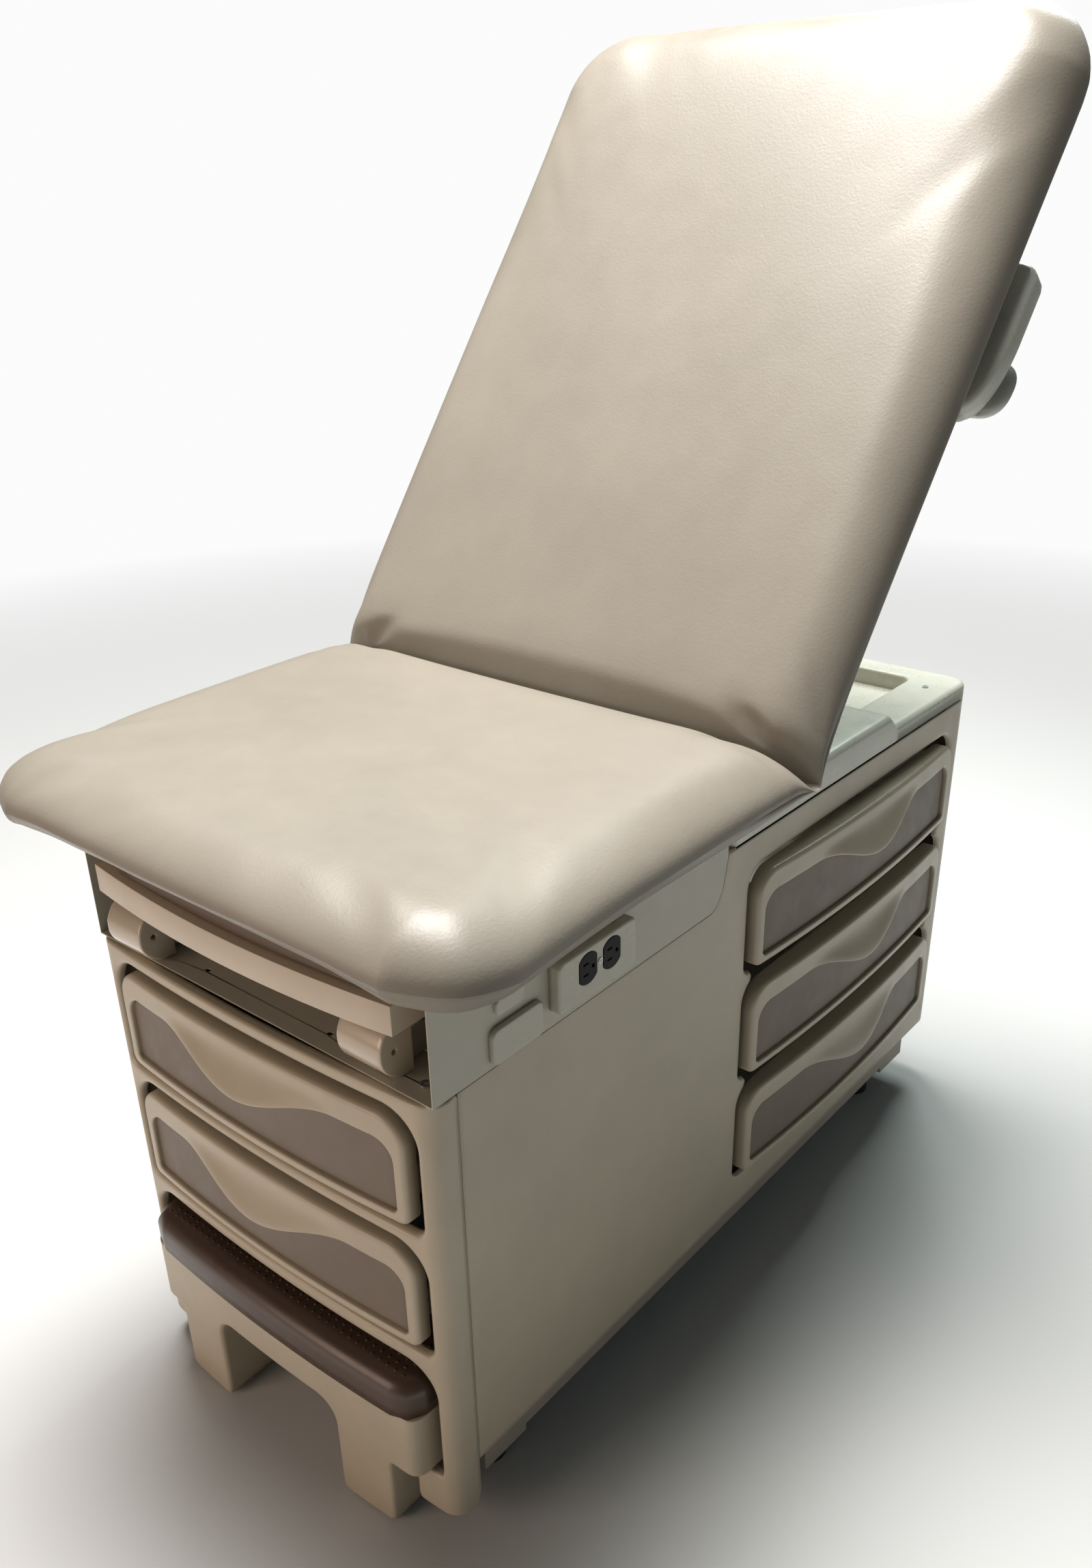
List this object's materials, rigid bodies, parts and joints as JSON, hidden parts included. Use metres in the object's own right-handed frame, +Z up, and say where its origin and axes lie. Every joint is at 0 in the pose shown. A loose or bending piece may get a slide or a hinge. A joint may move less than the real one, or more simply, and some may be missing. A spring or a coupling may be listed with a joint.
{
  "type": "medical exam table",
  "caption": "Cabinet exam table with upholstered seat, tilting back section, drawers, pull-out step, footrest and foot supports.",
  "frame": {"origin": "on the floor, midway between the table's two sides and midway between its foot end and head end", "axes": "+Z up, the foot end with the step faces -Y, the head end +Y, and +X is the side with the electrical outlet"},
  "size_m": [0.708, 1.188, 1.51],
  "materials": {
    "shell_plastic": "satin moulded",
    "cover_plastic": "satin moulded",
    "plinth_plastic": "matte",
    "insert_plastic": "fine texture",
    "tread_plastic": "textured with raised dots",
    "cap_plastic": "gloss",
    "lever_plastic": "satin",
    "housing_paint": "powder coat",
    "pan_paint": "powder coat",
    "drawer_box_paint": "powder coat",
    "vinyl": "soft grain, satin",
    "pad_vinyl": "soft grain, satin",
    "board_wood": "raw plywood",
    "zinc_steel": "zinc plated",
    "spring_black": "gloss",
    "rod_chrome": "polished",
    "outlet_beige": "gloss",
    "outlet_dark": "gloss",
    "foot_rubber": "matte",
    "cable_black": "matte"
  },
  "bodies": {
    "base": {"base_shell": "shell_plastic", "front_fascia": "shell_plastic", "plinth": "plinth_plastic", "chassis": "zinc_steel", "frame_rails": "zinc_steel", "leveling_feet": "foot_rubber", "leveling_studs": "zinc_steel", "deck_housing": "housing_paint", "seat_board": "board_wood", "seat_cushion": "vinyl", "top_cover": "cover_plastic", "hinge_brackets": "zinc_steel", "hinge_pins": "zinc_steel", "receptacle_plate": "outlet_beige", "receptacle": "outlet_dark", "receptacle_box": "zinc_steel", "blank_plate": "outlet_beige", "panel_screws": "zinc_steel", "stirrup_channels": "zinc_steel", "footrest_slides": "zinc_steel", "drawer_runners": "zinc_steel", "step_rails": "zinc_steel", "spring_mount": "zinc_steel", "power_inlet": "outlet_dark"},
    "backrest": {"back_cushion": "vinyl", "back_board": "board_wood", "back_hinge_arms": "zinc_steel", "handle_housings": "shell_plastic", "spring_bracket": "zinc_steel", "release_cables": "cable_black", "lever_pins": "zinc_steel"},
    "lever_r": {"release_lever_r": "lever_plastic"},
    "lever_l": {"release_lever_l": "lever_plastic"},
    "gas_cylinder": {"gas_cylinder": "spring_black"},
    "gas_rod": {"gas_rod": "rod_chrome"},
    "footrest": {"footrest_pan": "pan_paint", "footrest_pad": "pad_vinyl"},
    "front_drawer_1": {"front_drawer_1_front": "shell_plastic", "front_drawer_1_insert": "insert_plastic", "front_drawer_1_box": "drawer_box_paint"},
    "front_drawer_2": {"front_drawer_2_front": "shell_plastic", "front_drawer_2_insert": "insert_plastic", "front_drawer_2_box": "drawer_box_paint"},
    "side_drawer_1": {"side_drawer_1_fronts": "shell_plastic", "side_drawer_1_inserts": "insert_plastic", "side_drawer_1_box": "drawer_box_paint"},
    "side_drawer_2": {"side_drawer_2_fronts": "shell_plastic", "side_drawer_2_inserts": "insert_plastic", "side_drawer_2_box": "drawer_box_paint"},
    "side_drawer_3": {"side_drawer_3_fronts": "shell_plastic", "side_drawer_3_inserts": "insert_plastic", "side_drawer_3_box": "drawer_box_paint"},
    "step": {"step_riser": "shell_plastic", "step_tread": "tread_plastic", "step_arms": "zinc_steel"},
    "foot_support_r": {"stirrup_bar_r": "zinc_steel", "stirrup_cap_r": "cap_plastic"},
    "foot_support_l": {"stirrup_bar_l": "zinc_steel", "stirrup_cap_l": "cap_plastic"}
  },
  "joints": [
    {"name": "back_tilt", "type": "hinge", "parent": "base", "child": "backrest", "pos_m": [0, -0.019, 0.731], "axis": [1, 0, 0], "range_deg": [-53.5, 26.5]},
    {"name": "release_lever_r_squeeze", "type": "hinge", "parent": "backrest", "child": "lever_r", "pos_m": [0.325, 0.32497, 1.10843], "axis": [1, 0, 0], "range_deg": [0, 12], "stiffness_Nm_per_rad": 2},
    {"name": "release_lever_l_squeeze", "type": "hinge", "parent": "backrest", "child": "lever_l", "pos_m": [-0.325, 0.32497, 1.10843], "axis": [1, 0, 0], "range_deg": [0, 12], "stiffness_Nm_per_rad": 2},
    {"name": "gas_cylinder_tilt", "type": "hinge", "parent": "base", "child": "gas_cylinder", "pos_m": [0, 0.35, 0.64], "axis": [1, 0, 0], "range_deg": [-4.3, 8.6]},
    {"name": "gas_rod_travel", "type": "slide", "parent": "gas_cylinder", "child": "gas_rod", "axis": [0, -0.9427, 0.3335], "range_m": [-0.0195, 0.0098]},
    {"name": "footrest_slide", "type": "slide", "parent": "base", "child": "footrest", "axis": [0, -1, 0], "range_m": [0, 0.36]},
    {"name": "front_drawer_1_slide", "type": "slide", "parent": "base", "child": "front_drawer_1", "axis": [0, -1, 0], "range_m": [0, 0.36]},
    {"name": "front_drawer_2_slide", "type": "slide", "parent": "base", "child": "front_drawer_2", "axis": [0, -1, 0], "range_m": [0, 0.36]},
    {"name": "side_drawer_1_slide", "type": "slide", "parent": "base", "child": "side_drawer_1", "axis": [1, 0, 0], "range_m": [-0.32, 0.32]},
    {"name": "side_drawer_2_slide", "type": "slide", "parent": "base", "child": "side_drawer_2", "axis": [1, 0, 0], "range_m": [-0.32, 0.32]},
    {"name": "side_drawer_3_slide", "type": "slide", "parent": "base", "child": "side_drawer_3", "axis": [1, 0, 0], "range_m": [-0.32, 0.32]},
    {"name": "step_slide", "type": "slide", "parent": "base", "child": "step", "axis": [0, -1, 0], "range_m": [0, 0.25]},
    {"name": "foot_support_r_slide", "type": "slide", "parent": "base", "child": "foot_support_r", "axis": [0, -1, 0], "range_m": [0, 0.38]},
    {"name": "foot_support_l_slide", "type": "slide", "parent": "base", "child": "foot_support_l", "axis": [0, -1, 0], "range_m": [-0.01, 0.37]}
  ],
  "couplings": [
    {"joint": "gas_cylinder_tilt", "follows": "back_tilt", "ratio": -0.16},
    {"joint": "gas_rod_travel", "follows": "back_tilt", "m_per_rad": 0.0205}
  ]
}
